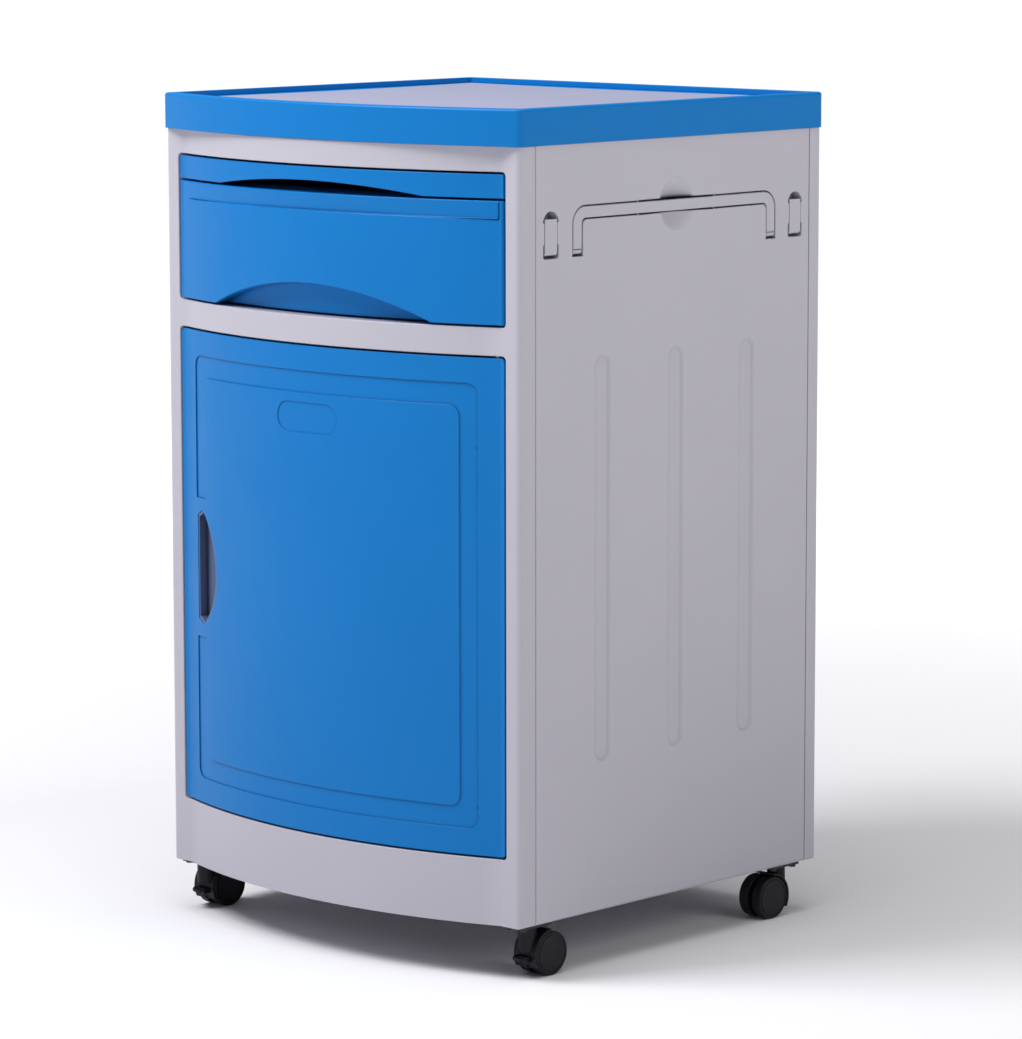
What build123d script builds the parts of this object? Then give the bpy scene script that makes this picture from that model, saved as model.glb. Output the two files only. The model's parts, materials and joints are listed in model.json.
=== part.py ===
from build123d import *
import math
import os

# Hospital bedside cabinet: moulded ABS carcass on four twin-wheel casters, with a pull-out tray,
# a drawer and a bowed door at the front, and a fold-out towel rail and two fold-out hooks on each side.
# Millimetres. The origin is on the floor under the middle, +X is right, +Y is back, +Z is up.

# ---- overall size
WIDTH = 450.0
DEPTH = 450.0
HEIGHT = 770.0
RIM_HEIGHT = 32.5
RIM_OVERHANG = 1.5
CLEARANCE_UNDER = 49.0

# ---- carcass
HALF_W = WIDTH / 2 - RIM_OVERHANG
APEX_Y = -(DEPTH / 2 - RIM_OVERHANG)
BACK_Y = DEPTH / 2 - RIM_OVERHANG
BODY_TOP = HEIGHT - RIM_HEIGHT
BODY_BOTTOM = CLEARANCE_UNDER
FRAME_SKIN = 4.0
PANEL_THICK = 5.0
INNER_X = HALF_W - PANEL_THICK
CORNER_R = 6.0
LOWER_EDGE_R = 4.0
SEAM_FRONT_Y = -166.5
SEAM_BACK_Y = 206.0
SEAM_GAP = 0.6
FLANGE = 4.0
FLANGE_X = 208.0
FLANGE_MIDDLE_X = (FLANGE_X + INNER_X) / 2
FRAME_SCREW_Z = (90.0, 300.0, 520.0, 700.0)
FIT = 0.2

# ---- bowed front: flat stiles at both sides and one arc between them
BOW_HALF = 199.0
BOW_RISE = 37.0
STILE_Y = APEX_Y + BOW_RISE
BOW_R = (BOW_HALF**2 + BOW_RISE**2) / (2 * BOW_RISE)
BOW_CENTRE_Y = APEX_Y + BOW_R
FAR_Y = -260.0

# ---- front openings
OPENING_HALF = 206.5
OPENING_R = 4.0
UPPER_Z = (580.0, 715.0)
DOOR_Z = (109.0, 555.0)
REVEAL = 3.0
REVEAL_BACK_Y = -165.0

# ---- moving fronts
FRONT_HALF = 204.0
TRAY_FRONT_Z = (692.0, 713.0)
TRAY_NOTCH_HALF = 128.0
TRAY_NOTCH_RISE = 9.0
TRAY_BOARD_Z = (701.5, 711.0)
TRAY_BOARD_HALF = 203.0
TRAY_BACK_Y = 140.0
DRAWER_FRONT_Z = (582.0, 690.0)
DRAWER_NOTCH_HALF = 136.5
DRAWER_NOTCH_RISE = 27.5
DRAWER_SCOOP_DEPTH = 14.0
DRAWER_BAND_Z = 674.5
DRAWER_BOX_HALF = 190.0
DRAWER_BOX_Z = (588.0, 684.0)
DRAWER_BACK_Y = 165.0
DRAWER_RAIL_Z = (600.0, 608.0)
DRAWER_RAIL_X = 198.0
DRAWER_PROUD = 1.2
DRAWER_BOSSES = [(x, z) for x in (-150.0, 150.0) for z in (625.0, 665.0)]
FRONT_BACK_Y = -168.0
FRONT_WALL = 3.5
BOX_WALL = 3.0
BAND_FROM_X = -189.0
BAND_TO_X = 200.0
BAND_DEPTH = 2.4

# ---- door
DOOR_EDGE_GAP = 2.0
DOOR_THICK = 16.0
DOOR_LINER_INSET = 13.5
DOOR_INSET = 0.4
TROUGH_DEPTH = 1.1
TROUGH_OUTER = (179.0, 134.5, 530.5)
TROUGH_INNER = (162.0, 154.0, 510.5)
TROUGH_R = 10.0
BRIDGE_Z = (268.0, 398.0)
BRIDGE_X = -150.0
LABEL_X = (-42.0, 34.0)
LABEL_Z = (474.5, 502.0)
LABEL_DEPTH = 0.8
GRIP_X = (-177.0, -142.0)
GRIP_Z = (280.0, 387.0)
GRIP_DEPTH = 12.5
HINGE_X = 192.0
HINGE_Y = -180.0
HINGE_PIN_R = 2.5
BUSH_R = 5.0
BUSH_LENGTH = 12.0
DOOR_BOSSES = [(x, z) for x in (-190.0, 0.0, 175.0) for z in (150.0, 470.0)]
RUN_FIT = 0.05
CATCH_Z = 333.0

# ---- inside
DECK_Z = (566.0, 570.0)
FLOOR_Z = (101.0, 105.0)
SHELF_Z = (326.0, 340.0)
SHELF_PIN_R = 3.0
INNER_FRONT_Y = -161.5
INNER_BACK_Y = BACK_Y - FRAME_SKIN - FIT
BASE_X = (-INNER_X + FIT, INNER_X - FIT)
BASE_Y = (SEAM_FRONT_Y + 0.3, INNER_BACK_Y)
SKIRT_WALL = 3.0
PAD_X = 180.0
PAD_HALF_Y = 24.0
RUNNER_SCREW_Y = (-130.0, 20.0, 170.0)
DRAWER_SEAT_X = 205.0
TRAY_SEAT_X = 208.5

# ---- fold-out accessories in each side
SIDE_MIDDLE_Y = 19.3
BLOCK_X = 211.0
BLOCK_Z = (628.0, 697.0)
BAR_HALF_Y = 136.7
BAR_Z = (640.0, 682.0)
BAR_LEG = 11.0
BAR_THICK = 8.0
BAR_OUTER_R = 15.0
BAR_GAP = 1.4
BAR_CLIP_Y = 51.8
DISH_R = 24.0
DISH_Z = 678.0
DISH_DEPTH = 7.0
HOOK_OFFSET_Y = 165.8
HOOK_WIDTH = 15.3
HOOK_Z = (641.0, 673.0)
HOOK_THICK = 6.0
HOOK_LIP = 4.0
HOOK_POCKET_R = 10.0
PIVOT_R = 1.5
PIVOT_INSET = 4.0
FLUTE_PITCH = 98.2
FLUTE_WIDTH = 21.0
FLUTE_Z = (185.0, 551.0)
FLUTE_DEPTH = 2.0

# ---- top
LIP_WIDTH = 9.0
RIM_WALL = 6.0
DECK_THICK = 6.5
INLAY_TOP = HEIGHT - 5.0
INLAY_THICK = 3.0
INLAY_CORNER_INSET = 12.0
INLAY_SIDE_INSET = 26.0
TOP_SCREW_X = (-150.0, 0.0, 150.0)
TOP_SCREW_Y = (-176.0, 211.5)

# ---- casters
STEM_X = 207.0
STEM_Y = (-160.0, 184.0)
WHEEL_R = 20.0
WHEEL_WIDTH = 10.5
WHEEL_EDGE_R = 1.6
HUB_LINE_R = 17.4
CASTER_WIDTH = 26.0
TRAIL = 19.0
PLATE_HALF_X = 12.5
PLATE_HALF_Y = 21.0
PLATE_THICK = 2.5
KING_PIN_R = 4.0
AXLE_R = 3.0
WEB_HALF = 2.2
HOOD_R = 22.6
HOOD_WALL = 1.8
SCREW_SPREAD_X = 8.0
SCREW_SPREAD_Y = 14.0
KING_PIN_FOOT = 35.0
LEVER_R = 2.4
LEVER_AT = (-6.2, 17.5)
TRUNNION_R = 1.2


# ---------------------------------------------------------------- small helpers

def block(x, y, z):
    """A box from three (low, high) pairs."""
    size = [high - low for low, high in (x, y, z)]
    middle = [(high + low) / 2 for low, high in (x, y, z)]
    return Pos(*middle) * Box(*size)


def rod(centre, axis, radius, length):
    """A cylinder centred on a point, along X, Y or Z."""
    turn = {"X": Rot(0, 90, 0), "Y": Rot(90, 0, 0), "Z": Rot(0, 0, 0)}[axis]
    return Pos(*centre) * turn * Cylinder(radius, length)


def slab(face, low, high):
    """A plan outline raised between two heights."""
    return Pos(0, 0, low) * extrude(face, high - low, dir=(0, 0, 1))


def along_y(sketch, low, high):
    """A front-view sketch (X, Z) extruded between two Y values."""
    return Pos(0, low, 0) * extrude(Plane.XZ * sketch, high - low, dir=(0, 1, 0))


def along_x(sketch, low, high):
    """A side-view sketch (Y, Z) extruded between two X values."""
    return Pos(low, 0, 0) * extrude(Plane.YZ * sketch, high - low, dir=(1, 0, 0))


def rounded(u, v, radius):
    """A rounded rectangle from two (low, high) pairs."""
    middle = ((u[0] + u[1]) / 2, (v[0] + v[1]) / 2)
    return Pos(*middle) * RectangleRounded(u[1] - u[0], v[1] - v[0], radius)


def arch(half, base, rise):
    """A shallow segment of a circle standing on a flat base."""
    return make_face(
        Line((-half, base), (half, base))
        + ThreePointArc((half, base), (0, base + rise), (-half, base))
    )


def both(solid):
    """A right-hand solid and its mirror image on the left."""
    return [solid, mirror(solid, Plane.YZ)]


def mirrored(solid, side):
    return solid if side == "right" else mirror(solid, Plane.YZ)


def bow_y(x, inset=0.0):
    return BOW_CENTRE_Y - math.sqrt((BOW_R - inset) ** 2 - x**2)


def front_plan(inset, half_width, back_y, corner=0.0):
    """Plan of everything behind the bowed front, at a distance inside its outer face."""
    radius = BOW_R - inset
    stile_y = STILE_Y + inset
    join = math.sqrt(radius**2 - (BOW_CENTRE_Y - stile_y) ** 2)
    if half_width > join:
        corner_point = (half_width, stile_y)
        front = (
            Line((-half_width, stile_y), (-join, stile_y))
            + ThreePointArc((-join, stile_y), (0, BOW_CENTRE_Y - radius), (join, stile_y))
            + Line((join, stile_y), corner_point)
        )
    else:
        corner_point = (half_width, bow_y(half_width, inset))
        front = ThreePointArc(
            (-half_width, corner_point[1]), (0, BOW_CENTRE_Y - radius), corner_point
        )
    rest = Polyline(
        corner_point, (half_width, back_y), (-half_width, back_y), (-half_width, corner_point[1])
    )
    face = make_face(front + rest)
    if corner:
        corners = [v for v in face.vertices() if abs(abs(v.X) - half_width) < 0.01 and v.Y < back_y - 0.01]
        face = fillet(corners, corner)
    return face


def bow_layer(near, far, half_width=HALF_W):
    """The curved layer between two distances inside the bowed front, as tall as the cabinet."""
    outer = slab(front_plan(near, half_width, -120.0), BODY_BOTTOM, HEIGHT)
    inner = slab(front_plan(far, half_width, -120.0), BODY_BOTTOM, HEIGHT)
    return outer - inner


def screw(head, axis, direction, length, head_r=3.6, shank_r=1.9):
    """A pan-head screw: its head's seat point, the axis letter, the way the shank goes, its length."""
    step = {"X": (1, 0, 0), "Y": (0, 1, 0), "Z": (0, 0, 1)}[axis]
    head_height = 2.4
    head_at = [c - direction * s * head_height / 2 for c, s in zip(head, step)]
    shank_at = [c + direction * s * length / 2 for c, s in zip(head, step)]
    return rod(head_at, axis, head_r, head_height) + rod(shank_at, axis, shank_r, length)


# ---------------------------------------------------------------- screws and pins

def frame_screws():
    """Screws through the flanges that join the side panels to the front frame and the back panel."""
    screws = []
    for z in FRAME_SCREW_Z:
        front = screw((FLANGE_MIDDLE_X, SEAM_FRONT_Y + SEAM_GAP + FLANGE, z), "Y", -1, 7.5)
        rear = screw((FLANGE_MIDDLE_X, SEAM_BACK_Y - SEAM_GAP - FLANGE, z), "Y", 1, 7.5)
        screws += both(front) + both(rear)
    return screws


def top_screws():
    """Screws up through the frame's and back panel's top edges into bosses under the top."""
    spots = [(x, y) for x in TOP_SCREW_X for y in TOP_SCREW_Y]
    return [screw((x, y, BODY_TOP - FRAME_SKIN), "Z", 1, 12.0) for x, y in spots]


def runner_screws():
    """Screws that hold the drawer and tray runners to the side panels."""
    screws = []
    for y in RUNNER_SCREW_Y:
        screws += both(screw((DRAWER_SEAT_X, y, sum(DRAWER_RAIL_Z) / 2), "X", 1, 15.0, 3.0, 1.6))
        screws += both(screw((TRAY_SEAT_X, y, sum(TRAY_BOARD_Z) / 2), "X", 1, 11.5, 2.6, 1.6))
    return screws


def shelf_pins():
    pins = []
    for y in (-120.0, 165.0):
        pins += both(rod((213.0, y, SHELF_Z[0] - SHELF_PIN_R), "X", SHELF_PIN_R, 14.0))
    return pins


def hinge_pins():
    """The two steel pins the door turns on, pressed into the frame above and below it."""
    upper = rod((HINGE_X, HINGE_Y, DOOR_Z[1]), "Z", HINGE_PIN_R, 26.0)
    lower = rod((HINGE_X, HINGE_Y, DOOR_Z[0]), "Z", HINGE_PIN_R, 26.0)
    return [upper, lower]


# ---------------------------------------------------------------- carcass

def lower_edges():
    """What the rounding takes off the carcass along its bottom edge on both sides."""
    centre = (HALF_W - LOWER_EDGE_R, 0, BODY_BOTTOM + LOWER_EDGE_R)
    square = block((centre[0], HALF_W + 1), (-WIDTH, WIDTH), (BODY_BOTTOM - 1, centre[2]))
    return both(square - rod(centre, "Y", LOWER_EDGE_R, 3 * WIDTH))


def front_frame():
    """The bowed face frame: a hollow moulding with a return wall round each opening."""
    shell = slab(front_plan(0, HALF_W, SEAM_FRONT_Y, CORNER_R), BODY_BOTTOM, BODY_TOP)
    hollow = slab(
        front_plan(FRAME_SKIN, HALF_W - FRAME_SKIN, SEAM_FRONT_Y - FLANGE, CORNER_R - FRAME_SKIN + 1),
        BODY_BOTTOM + FRAME_SKIN,
        BODY_TOP - FRAME_SKIN,
    )
    back_gap = block(
        (-FLANGE_X, FLANGE_X), (SEAM_FRONT_Y - FLANGE - 1, -150.0),
        (BODY_BOTTOM + FRAME_SKIN, BODY_TOP - FRAME_SKIN),
    )
    frame = shell - hollow - back_gap
    envelope = slab(front_plan(0, HALF_W, REVEAL_BACK_Y), BODY_BOTTOM, BODY_TOP)
    for low, high in (UPPER_Z, DOOR_Z):
        outside = rounded(
            (-OPENING_HALF - REVEAL, OPENING_HALF + REVEAL), (low - REVEAL, high + REVEAL),
            OPENING_R + REVEAL,
        )
        frame += along_y(outside, FAR_Y, SEAM_FRONT_Y) & envelope
    for z in (DOOR_Z[0] - 8.0, DOOR_Z[1] + 8.0):
        frame += rod((HINGE_X, HINGE_Y, z), "Z", 6.0, 16.0)
    for low, high in (UPPER_Z, DOOR_Z):
        frame -= along_y(rounded((-OPENING_HALF, OPENING_HALF), (low, high), OPENING_R), FAR_Y, -120.0)
    frame += door_stop()
    for piece in hinge_pins() + frame_screws() + top_screws() + caster_screws() + lower_edges():
        frame -= piece
    return frame


def door_stop():
    """The rib behind the door's edge that the closed door rests near, left, top and bottom."""
    rib = 5.0
    outside = rounded((-OPENING_HALF - 1, 150.0), (DOOR_Z[0] - 1, DOOR_Z[1] + 1), OPENING_R)
    inside = block((-OPENING_HALF + rib, 200.0), (FAR_Y, -120.0), (DOOR_Z[0] + rib, DOOR_Z[1] - rib))
    layer = bow_layer(DOOR_THICK + 0.9, DOOR_THICK + 3.4, OPENING_HALF + 1)
    return (along_y(outside, FAR_Y, -120.0) - inside) & layer


def bar_outline(grow):
    """The U-shaped towel rail seen from the side, grown by a gap all round."""
    outer = rounded(
        (SIDE_MIDDLE_Y - BAR_HALF_Y - grow, SIDE_MIDDLE_Y + BAR_HALF_Y + grow),
        (BAR_Z[0] - 30.0, BAR_Z[1] + grow), BAR_OUTER_R + grow,
    )
    inner_half = BAR_HALF_Y - BAR_LEG - grow
    inner = rounded(
        (SIDE_MIDDLE_Y - inner_half, SIDE_MIDDLE_Y + inner_half),
        (BAR_Z[0] - 40.0, BAR_Z[1] - BAR_LEG + 1.0 - grow), 5.0,
    )
    below = Pos(SIDE_MIDDLE_Y, BAR_Z[0] - grow - 50.0) * Rectangle(2 * WIDTH, 100.0)
    return outer - inner - below


def hook_pocket(y):
    """The cut-out round one hook: close at the waist, wide at the foot, a round finger gap on top."""
    half = HOOK_WIDTH / 2
    waist = rounded((y - half - 0.7, y + half + 0.7), (HOOK_Z[0] - 2.0, HOOK_Z[1] + 1.0), 1.5)
    finger = Pos(y, HOOK_Z[1] - 3.0) * Circle(HOOK_POCKET_R)
    above = Pos(y, HOOK_Z[1] - 3.0 - 50.0) * Rectangle(100.0, 100.0)
    foot = rounded((y - HOOK_POCKET_R, y + HOOK_POCKET_R), (HOOK_Z[0] - 2.5, HOOK_Z[0] + 11.0), 3.0)
    return waist + (finger - above) + foot


def hook_centres():
    return (SIDE_MIDDLE_Y - HOOK_OFFSET_Y, SIDE_MIDDLE_Y + HOOK_OFFSET_Y)


def bar_pivot():
    return (HALF_W - PIVOT_INSET, BAR_Z[0] + 4.5)


def hook_pivot():
    return (HALF_W - PIVOT_INSET + 0.5, HOOK_Z[0] + 3.6)


def towel_bar_pins(side):
    """Four short pins, one each side of each leg's foot."""
    x, z = bar_pivot()
    pins = []
    for end in (-1, 1):
        middle = SIDE_MIDDLE_Y + end * (BAR_HALF_Y - BAR_LEG / 2)
        pins.append(mirrored(rod((x, middle, z), "Y", PIVOT_R, BAR_LEG + 9.0), side))
    return pins


def hook_pins(side):
    x, z = hook_pivot()
    return [mirrored(rod((x, y, z), "Y", PIVOT_R, 2 * HOOK_POCKET_R + 6.0), side) for y in hook_centres()]


def side_panel(side):
    """A side of the carcass, with the pockets for the rail and hooks, a finger dish and three flutes."""
    y0 = SEAM_FRONT_Y + SEAM_GAP
    y1 = SEAM_BACK_Y - SEAM_GAP
    panel = block((INNER_X, HALF_W), (y0, y1), (BODY_BOTTOM, BODY_TOP))
    edges = panel.edges().filter_by(Axis.Z).group_by(Axis.X)[-1]
    panel = chamfer(edges, 0.7)
    panel += block((BLOCK_X, INNER_X), (y0 + FLANGE, y1 - FLANGE), BLOCK_Z)
    for low, high in ((y0, y0 + FLANGE), (y1 - FLANGE, y1)):
        panel += block((FLANGE_X, INNER_X), (low, high), (FLOOR_Z[1] + 1.0, BODY_TOP))
        panel += block((FLANGE_X, INNER_X), (low, high), (BODY_BOTTOM, FLOOR_Z[0] - 1.0))
    for n in (-1, 0, 1):
        middle = SIDE_MIDDLE_Y + n * FLUTE_PITCH
        outline = rounded(
            (middle - FLUTE_WIDTH / 2, middle + FLUTE_WIDTH / 2), FLUTE_Z, FLUTE_WIDTH / 2 - 0.01
        )
        cutter = extrude(Plane.YZ * outline, -FLUTE_DEPTH, taper=52)
        panel -= Pos(HALF_W, 0, 0) * cutter
    dish_ball = (DISH_R**2 + DISH_DEPTH**2) / (2 * DISH_DEPTH)
    panel -= Pos(HALF_W + dish_ball - DISH_DEPTH, SIDE_MIDDLE_Y, DISH_Z) * Sphere(dish_ball)
    panel -= along_x(bar_outline(BAR_GAP), HALF_W - BAR_THICK - 1.0, HALF_W + 10)
    for y in hook_centres():
        panel -= along_x(hook_pocket(y), HALF_W - HOOK_THICK - HOOK_LIP - 0.6, HALF_W + 10)
    for end in (-1, 1):
        y = SIDE_MIDDLE_Y + end * BAR_CLIP_Y
        z = BAR_Z[1] + BAR_GAP
        panel += block((HALF_W - 3.0, HALF_W - 0.2), (y - 1.0, y + 1.0), (z - BAR_GAP + 0.4, z + 0.3))
        z = BAR_Z[1] - BAR_LEG + 1.0 - BAR_GAP
        panel += block((HALF_W - 3.0, HALF_W - 0.2), (y - 1.0, y + 1.0), (z - 0.3, z + BAR_GAP - 0.4))
    if side == "left":
        panel = mirror(panel, Plane.YZ)
    for piece in (
        frame_screws() + runner_screws() + shelf_pins() + towel_bar_pins(side) + hook_pins(side)
        + lower_edges()
    ):
        panel -= piece
    return panel


def back_panel():
    """The back: a moulded sheet with side returns, flanges and a shallow raised field."""
    outline = Pos(0, 0) * Rectangle(2 * HALF_W, 2 * BACK_Y)
    outline = fillet(outline.vertices(), CORNER_R)
    solid = slab(outline, BODY_BOTTOM, BODY_TOP)
    behind = block((-WIDTH, WIDTH), (SEAM_BACK_Y, WIDTH), (0, HEIGHT))
    hollow = block(
        (-HALF_W + FRAME_SKIN, HALF_W - FRAME_SKIN), (SEAM_BACK_Y + FLANGE, BACK_Y - FRAME_SKIN),
        (BODY_BOTTOM + FRAME_SKIN, BODY_TOP - FRAME_SKIN),
    )
    gap = block(
        (-FLANGE_X, FLANGE_X), (SEAM_BACK_Y - 1.0, SEAM_BACK_Y + FLANGE + 1.0),
        (BODY_BOTTOM + FRAME_SKIN, BODY_TOP - FRAME_SKIN),
    )
    panel = (solid & behind) - hollow - gap
    field = rounded((-180.0, 180.0), (95.0, 690.0), 14.0)
    rim = rounded((-172.0, 172.0), (103.0, 682.0), 8.0)
    panel -= along_y(field - rim, BACK_Y - 1.2, BACK_Y + 5)
    for piece in frame_screws() + top_screws() + caster_screws() + lower_edges():
        panel -= piece
    return panel


def base_panel():
    """The floor of the cupboard: a flat moulding stiffened by low ribs underneath."""
    floor = block(BASE_X, BASE_Y, FLOOR_Z)
    for n in (-1, 0, 1):
        rib_z = (FLOOR_Z[0] - 5.0, FLOOR_Z[0])
        floor += block((n * 100.0 - 1.5, n * 100.0 + 1.5), (BASE_Y[0] + 6, SEAM_BACK_Y - 8), rib_z)
    for side in ("left", "right"):
        rear_corner = block((FLANGE_X - FIT, HALF_W), (SEAM_BACK_Y - FIT, BACK_Y), (0, FLOOR_Z[1] + 1))
        floor -= mirrored(rear_corner, side)
    for piece in frame_screws():
        floor -= piece
    return floor


def base_skirt():
    """What stands under the floor: a thick pad over each caster and a board between each two pads."""
    z = (BODY_BOTTOM + FRAME_SKIN + FIT, FLOOR_Z[0])
    inner_x, outer_x = BASE_X[1] - SKIRT_WALL, BASE_X[1]
    front_pad = (BASE_Y[0], STEM_Y[0] + PAD_HALF_Y)
    rear_pad = (STEM_Y[1] - PAD_HALF_Y, SEAM_BACK_Y - FIT)
    boards = both(block((inner_x, outer_x), (front_pad[1], rear_pad[0]), z))
    boards.append(block((-PAD_X, PAD_X), (BASE_Y[0], BASE_Y[0] + SKIRT_WALL), z))
    boards.append(block((-PAD_X, PAD_X), (rear_pad[1] - SKIRT_WALL, rear_pad[1]), z))
    pads = []
    for y in (front_pad, rear_pad):
        pads += both(block((PAD_X, outer_x), y, (BODY_BOTTOM, FLOOR_Z[0])))
    skirt = []
    for solid in boards + pads:
        for side in ("left", "right"):
            solid -= side_panel_flange_space(side)
        for piece in caster_screws() + frame_screws():
            solid -= piece
        skirt.append(solid)
    return skirt


def side_panel_flange_space(side):
    """Room left at the corners for the side panels' flanges below the cupboard floor."""
    space = []
    for low, high in ((SEAM_FRONT_Y, SEAM_FRONT_Y + SEAM_GAP + FLANGE + 2.6),
                      (SEAM_BACK_Y - SEAM_GAP - FLANGE - 2.6, BACK_Y)):
        space.append(
            block((FLANGE_X - FIT, INNER_X), (low, high), (BODY_BOTTOM - 1, FLOOR_Z[0] - 0.8))
        )
    return mirrored(space[0] + space[1], side)


def mid_deck():
    """The fixed deck between the drawer and the cupboard."""
    deck = block(BASE_X, (INNER_FRONT_Y, INNER_BACK_Y), DECK_Z)
    deck += block(BASE_X, (INNER_FRONT_Y, INNER_FRONT_Y + 3), (DECK_Z[0] - 8.0, DECK_Z[0] + 1.0))
    corner = block((FLANGE_X - FIT, INNER_X), (SEAM_BACK_Y - SEAM_GAP - FLANGE - FIT, BACK_Y), (500, 600))
    for piece in both(corner):
        deck -= piece
    return deck


def inner_shelf():
    """The cupboard's shelf: a thin tray with a turned-down rim, resting on four pins."""
    x = (-215.0, 215.0)
    y = (-145.0, 196.0)
    shelf = block(x, y, SHELF_Z)
    shelf = fillet(shelf.edges().filter_by(Axis.Z), 6.0)
    shelf -= block((x[0] + 3, x[1] - 3), (y[0] + 3, y[1] - 3), (SHELF_Z[0] - 1, SHELF_Z[1] - 3))
    for n in (-1, 0, 1):
        rib_z = (SHELF_Z[1] - 7.0, SHELF_Z[1] - 2.0)
        shelf += block((n * 105.0 - 1.5, n * 105.0 + 1.5), (y[0] + 2, y[1] - 2), rib_z)
    return shelf


# ---------------------------------------------------------------- top

def rim_plan(inset):
    """Plan of the top: square at the back, one arc across the whole front."""
    half = WIDTH / 2 - inset
    rise = BOW_RISE + 1.0
    radius = (half**2 + rise**2) / (2 * rise)
    front_y = -DEPTH / 2 + inset
    side_y = front_y + radius - math.sqrt(radius**2 - half**2)
    face = make_face(
        ThreePointArc((-half, side_y), (0, front_y), (half, side_y))
        + Polyline((half, side_y), (half, DEPTH / 2 - inset), (-half, DEPTH / 2 - inset), (-half, side_y))
    )
    return fillet(face.vertices(), max(7.0 - inset * 0.5, 2.0))


def inlay_plan(grow=0.0):
    """Plan of the inlay: its four corners reach out and its sides draw in between them."""
    reach = WIDTH / 2 - INLAY_CORNER_INSET + grow
    waist = WIDTH / 2 - INLAY_SIDE_INSET + grow
    front = -(DEPTH / 2 - BOW_RISE - INLAY_CORNER_INSET) - grow
    front_mid = -DEPTH / 2 + INLAY_SIDE_INSET - grow
    back = DEPTH / 2 - INLAY_CORNER_INSET + grow
    back_mid = DEPTH / 2 - INLAY_SIDE_INSET + grow
    return make_face(
        ThreePointArc((-reach, front), (0, front_mid), (reach, front))
        + ThreePointArc((reach, front), (waist, 12.0), (reach, back))
        + ThreePointArc((reach, back), (0, back_mid), (-reach, back))
        + ThreePointArc((-reach, back), (-waist, 12.0), (-reach, front))
    )


def top_rim():
    """The raised edge of the top: a wall round all four sides with a lip over the edge of the deck."""
    rim = slab(rim_plan(0), BODY_TOP, HEIGHT)
    top_edges = rim.edges().group_by(Axis.Z)[-1]
    rim = fillet(top_edges, 2.6)
    rim -= slab(rim_plan(LIP_WIDTH), INLAY_TOP, HEIGHT + 5)
    return rim - slab(rim_plan(RIM_WALL), BODY_TOP - 5, INLAY_TOP)


def top_deck():
    """The flat moulding inside the rim, with a recess for the inlay and low ribs underneath."""
    low = INLAY_TOP - DECK_THICK
    deck = slab(rim_plan(RIM_WALL), low, INLAY_TOP)
    deck -= slab(inlay_plan(FIT), INLAY_TOP - INLAY_THICK, HEIGHT)
    for n in (-1, 0, 1):
        deck += block((n * 110.0 - 1.5, n * 110.0 + 1.5), (-170.0, 200.0), (low - 4.0, low))
    for piece in top_screws():
        deck -= piece
    return deck


def top_posts():
    """The six posts between the deck and the carcass that the top's screws bite into."""
    height = (BODY_TOP, INLAY_TOP - DECK_THICK)
    posts = []
    for x in TOP_SCREW_X:
        for y in TOP_SCREW_Y:
            post = rod((x, y, sum(height) / 2), "Z", 5.0, height[1] - height[0])
            for piece in top_screws():
                post -= piece
            posts.append(post)
    return posts


def top_inlay():
    return slab(inlay_plan(), INLAY_TOP - INLAY_THICK, INLAY_TOP)


# ---------------------------------------------------------------- runners

def channel(x_mouth, x_web, z, wall, feet_x):
    """A C-shaped runner that holds a sliding edge, on three feet against the side panel."""
    low, high = z
    solid = block((x_mouth, x_web + wall), (-160.0, 200.0), (low - wall, high + wall))
    solid -= block((x_mouth - 1, x_web), (-161.0, 197.0), (low, high))
    for y in RUNNER_SCREW_Y:
        solid += block((x_web + wall, feet_x), (y - 12, y + 12), (low - wall, high + wall))
    return solid


def head_pockets(x_from, x_seat, z, radius):
    """Room for the screw heads, sunk behind the sliding edge."""
    return [rod(((x_from + x_seat) / 2, y, z), "X", radius, x_seat - x_from) for y in RUNNER_SCREW_Y]


def runner(x_mouth, x_web, edge_z, wall, seat_x, head_r, side):
    z = (edge_z[0] - 0.5, edge_z[1] + 0.5)
    solid = channel(x_mouth, x_web, z, wall, INNER_X)
    for pocket in head_pockets(x_web - 1.0, seat_x, sum(z) / 2, head_r):
        solid -= pocket
    solid = mirrored(solid, side)
    for piece in runner_screws():
        solid -= piece
    return solid


def drawer_runner(side):
    return runner(DRAWER_BOX_HALF + 2.0, DRAWER_RAIL_X + 0.7, DRAWER_RAIL_Z, 2.5, DRAWER_SEAT_X, 3.4, side)


def tray_runner(side):
    return runner(197.5, TRAY_BOARD_HALF + 0.7, TRAY_BOARD_Z, 2.0, TRAY_SEAT_X, 3.0, side)


# ---------------------------------------------------------------- tray

def tray_front():
    """The tray's lip: a thin bowed bar with a shallow finger notch along its lower edge."""
    low, high = TRAY_FRONT_Z
    bar = slab(front_plan(0.0, FRONT_HALF, FRONT_BACK_Y), low, high)
    bar -= slab(front_plan(FRONT_WALL, FRONT_HALF - FRONT_WALL, FRONT_BACK_Y + 9), low - 1, high - 2.0)
    bar -= along_y(arch(TRAY_NOTCH_HALF, low - 0.01, TRAY_NOTCH_RISE), FAR_Y, -120.0)
    bar -= tray_board_body(0.0)
    for piece in tray_screws():
        bar -= piece
    return bar


def tray_board_body(grow):
    front = slab(front_plan(FRONT_WALL + 0.2, 196.0, -150.0), *TRAY_BOARD_Z)
    rear = block((-TRAY_BOARD_HALF, TRAY_BOARD_HALF), (-160.0, TRAY_BACK_Y), TRAY_BOARD_Z)
    return front + rear


def tray_board():
    """The pull-out board: it slides in the runners by its two long edges."""
    board = tray_board_body(0.0)
    board -= slab(rounded((-185.0, 185.0), (-150.0, 128.0), 12.0), 708.5, 720.0)
    for piece in tray_screws():
        board -= piece
    return board


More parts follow.
